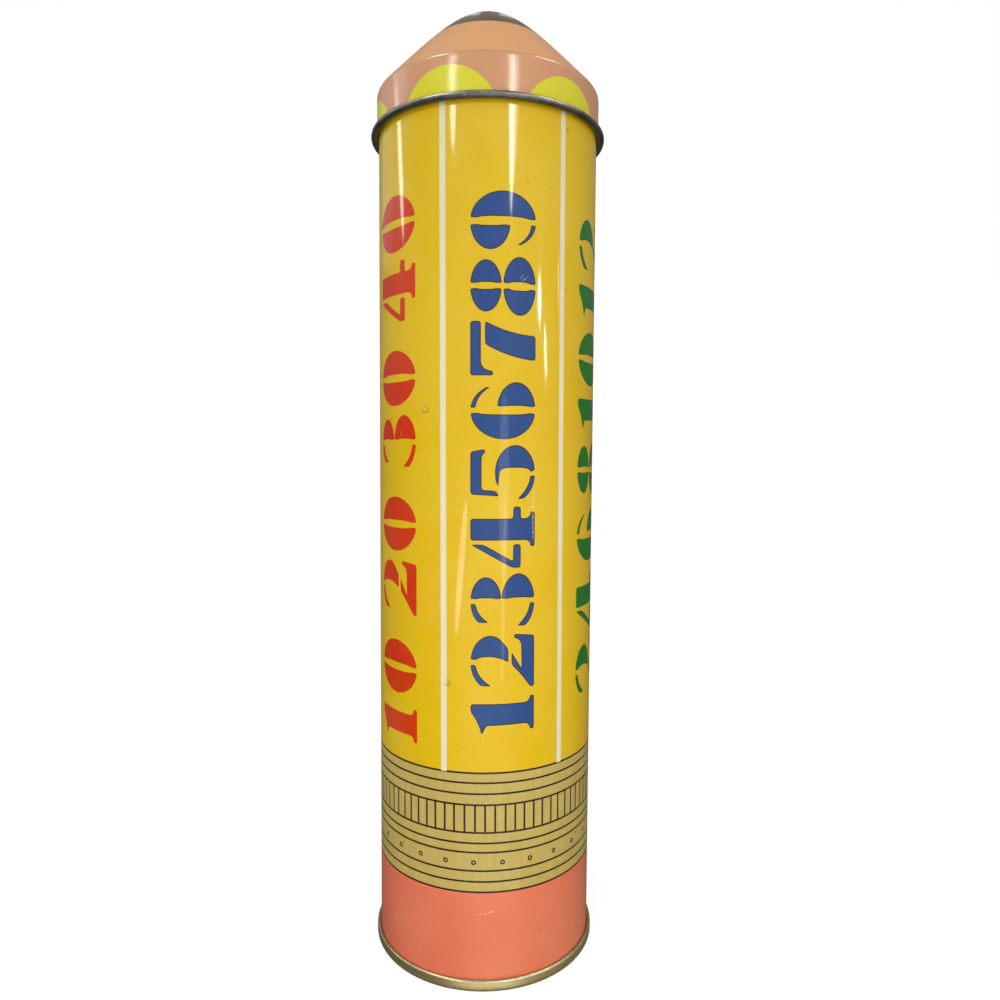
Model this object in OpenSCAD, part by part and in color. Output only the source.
// Slip-lid tube tin in the shape of a big pencil: a rolled wall, a base seamed
// into it and a drawn lid that pushes over the top. All sizes in millimetres.
// The origin is the middle of the ring that the tin stands on; +Z is up.

/* [Sheet] */
// Thickness of the tinplate that every piece is made from
sheet_t = 0.25; // [0.18:0.01:0.35]

/* [Wall] */
// Outer diameter of the rolled wall
wall_d = 50; // [36:0.5:80]
// Height of the wall's top edge above the table
wall_top = 195.1; // [120:0.5:260]
// Height of the hem, where the top edge is folded inwards
hem_h = 3; // [2:0.1:5]
// Slot left between the hem and the wall
hem_gap = 0.06; // [0.04:0.01:0.12]

/* [Side seam] */
// Width of the hooked seam down the back of the wall
lock_w = 4; // [3:0.1:6]
// Layers of sheet that the seam adds on the inside
lock_layers = 3; // [2:1:3]
// Length at each end where the seam is only lapped, so it can be folded
lap_h = 5; // [3:0.5:10]
// Width of the fine groove that shows on the outside
groove_w = 0.35; // [0.2:0.05:0.6]
// Depth of the same groove
groove_depth = 0.1; // [0.05:0.01:0.14]

/* [Base] */
// Height of the rolled seam round the base
rim_h = 2.5; // [2.3:0.1:4]
// Play between the folded layers inside the rim
rim_play = 0.05; // [0.03:0.01:0.08]
// How far the bottom of the rim is pressed flat
rim_flat = 0.05; // [0.03:0.01:0.08]
// Depth of the base panel, up from the table to its underside
panel_depth = 3.4; // [2.8:0.1:8]
// Diameter of the raised middle of the panel
pad_d = 38; // [16:0.5:44]
// Height that the middle of the panel is raised by
pad_h = 0.6; // [0.3:0.1:1.5]
// Width of the slope round the raised middle
pad_slope = 0.8; // [0.4:0.1:1.5]

/* [Lid] */
// Play between the wall and the inside of the lid's skirt, on each side
slip_gap = 0.15; // [0.1:0.01:0.3]
// Gap between the wall's top edge and the lid that rests on it
seat_gap = 0.15; // [0.1:0.01:0.3]
// Length of the lid's skirt, from its lowest edge up to its shoulder
skirt_h = 9.5; // [6:0.1:25]
// Outer diameter of the bead rolled round the lid's lower edge
bead_d = 1.6; // [1.3:0.05:2.4]
// Radius of the shoulder between the skirt and the cone
shoulder_r = 1.2; // [0.6:0.1:3]
// Height of the cone, from the shoulder to the top of the tip
cone_h = 19.75; // [12:0.25:40]
// Angle of the cone where it leaves the shoulder
cone_angle = 46.5; // [35:0.5:60]
// How far the cone's side holds that angle before it bends in
cone_reach = 17; // [8:0.5:24]
// How broad the rounded tip is
tip_reach = 7.3; // [2:0.1:12]

/* [Hidden] */
$fn = 128;
half = sheet_t / 2;
wall_r = wall_d / 2;
arc_steps = 10;

// Side seam
lock_depth = lock_layers * sheet_t;
lock_low = panel_depth + pad_h + lap_h;
lock_high = wall_top - hem_h - lap_h;

// Rim: middle lines of the layers, from the axis outwards
chuck_mid = wall_r - sheet_t - rim_play - half;
wall_mid = wall_r - half;
end_hook_mid = wall_r + rim_play + half;
wall_hook_mid = end_hook_mid + sheet_t + rim_play;
rim_mid = wall_hook_mid + sheet_t + rim_play;
rim_turn = (rim_mid - chuck_mid) / 2;
wall_turn = (wall_hook_mid - wall_mid) / 2;
hook_turn = (rim_mid - end_hook_mid) / 2;
turn_z = rim_turn + half - rim_flat;
hook_z = rim_h - half - hook_turn;
panel_mid = panel_depth + half;
pad_mid = panel_mid + pad_h;
pad_r = pad_d / 2;
panel_bend = 3 * half;

// Lid
skirt_r = wall_r + slip_gap + sheet_t;
skirt_mid = skirt_r - half;
shoulder_z = wall_top + seat_gap;
lid_low = shoulder_z - skirt_h;
bead_turn = bead_d / 2 - half;
bead_z = lid_low + bead_d / 2;
bead_sweep = 300;
shoulder_tangent = shoulder_r * tan((90 - cone_angle) / 2);
cone_steps = 28;

// Points on an arc about c with radius r, from angle a to angle b
function arc(c, r, a, b, steps = arc_steps) =
    [for (i = [0 : steps]) let (g = a + (b - a) * i / steps) c + r * [cos(g), sin(g)]];

// A point on a cubic curve with ends p0 and p3 and handles p1 and p2
function cubic(p0, p1, p2, p3, s) =
    pow(1 - s, 3) * p0 + 3 * pow(1 - s, 2) * s * p1 + 3 * (1 - s) * s * s * p2 + pow(s, 3) * p3;

// Left-hand normal of the line from a to b
function line_normal(a, b) = let (d = (b - a) / norm(b - a)) [-d[1], d[0]];

// The points before and after point i; a path that starts on the axis is mirrored there
function point_before(p, i) = i > 0 ? p[i - 1] : p[0][0] == 0 ? [-p[1][0], p[1][1]] : 2 * p[0] - p[1];
function point_after(p, i) = i < len(p) - 1 ? p[i + 1] : 2 * p[i] - p[i - 1];

// The side step at point i that keeps a line parallel to the path
function side_step(p, i) =
    let (n0 = line_normal(point_before(p, i), p[i]), n1 = line_normal(p[i], point_after(p, i)))
    (n0 + n1) / (1 + n0 * n1);

// The path moved sideways by w, to its left where w is positive
function beside(p, w) = [for (i = [0 : len(p) - 1]) p[i] + w * side_step(p, i)];
function backwards(p) = [for (i = [len(p) - 1 : -1 : 0]) p[i]];

// A sheet that follows its middle line round the axis
module turned_sheet(middle) {
    rotate_extrude() polygon(concat(beside(middle, half), backwards(beside(middle, -half))));
}

// Middle line of the wall, from the hem's free edge over the top and down into the rim
hem_turn = (sheet_t + hem_gap) / 2;
hem_z = wall_top - half - hem_turn;
wall_line = concat(
    [[wall_mid - 2 * hem_turn, wall_top - hem_h]],
    arc([wall_mid - hem_turn, hem_z], hem_turn, 180, 0),
    arc([wall_mid + wall_turn, turn_z], wall_turn, 180, 360),
    [[wall_hook_mid, hook_z]]
);

// Middle line of the base, from the axis out over the panel and round the rim
base_line = concat(
    [[0, pad_mid]],
    [[pad_r - pad_slope, pad_mid]],
    [[pad_r, panel_mid]],
    arc([chuck_mid - panel_bend, panel_mid - panel_bend], panel_bend, 90, 0),
    arc([chuck_mid + rim_turn, turn_z], rim_turn, 180, 360, 2 * arc_steps),
    arc([rim_mid - hook_turn, hook_z], hook_turn, 0, 180),
    [[end_hook_mid, turn_z]]
);

// Outside of the cone, from the middle of the tip down to the last point before the shoulder
shoulder_point = [skirt_r, shoulder_z];
cone_dir = [-cos(cone_angle), sin(cone_angle)];
cone_line = [for (i = [0 : cone_steps - 1])
    cubic([0, shoulder_z + cone_h], [tip_reach, shoulder_z + cone_h],
        shoulder_point + cone_reach * cone_dir, shoulder_point + shoulder_tangent * cone_dir,
        i / cone_steps)];

// Middle line of the lid, from the tip down the skirt and round the rolled bead
lid_line = concat(
    beside(cone_line, -half),
    arc([skirt_r - shoulder_r, shoulder_z - shoulder_tangent], shoulder_r - half, 90 - cone_angle, 0),
    arc([skirt_mid + bead_turn, bead_z], bead_turn, 180, 180 + bead_sweep, 3 * arc_steps)
);

// Rolled wall: hem at the top, hooked seam down the back, flange folded into the rim
module wall() {
    color("gold")
    difference() {
        union() {
            turned_sheet(wall_line);
            translate([0, 0, lock_low])
            linear_extrude(lock_high - lock_low)
            intersection() {
                difference() {
                    circle(wall_r - half);
                    circle(wall_r - sheet_t - lock_depth);
                }
                translate([-lock_w / 2, 0]) square([lock_w, wall_r]);
            }
        }
        translate([-groove_w / 2, wall_r - groove_depth, rim_h])
        cube([groove_w, 2 * groove_depth, wall_top - rim_h - hem_turn - sheet_t]);
    }
}

// Base: a stamped panel set up inside the wall, its edge folded round the wall's flange.
// The rim's turn reaches below the table by rim_flat, and is cut off level with it.
module base() {
    color("darkkhaki")
    intersection() {
        turned_sheet(base_line);
        cylinder(h = pad_mid + sheet_t, r = rim_mid + sheet_t);
    }
}

// Lid: skirt, shoulder, cone and rounded tip drawn from one sheet, lower edge rolled outwards
module lid() {
    color("burlywood") turned_sheet(lid_line);
}

wall();
base();
lid();
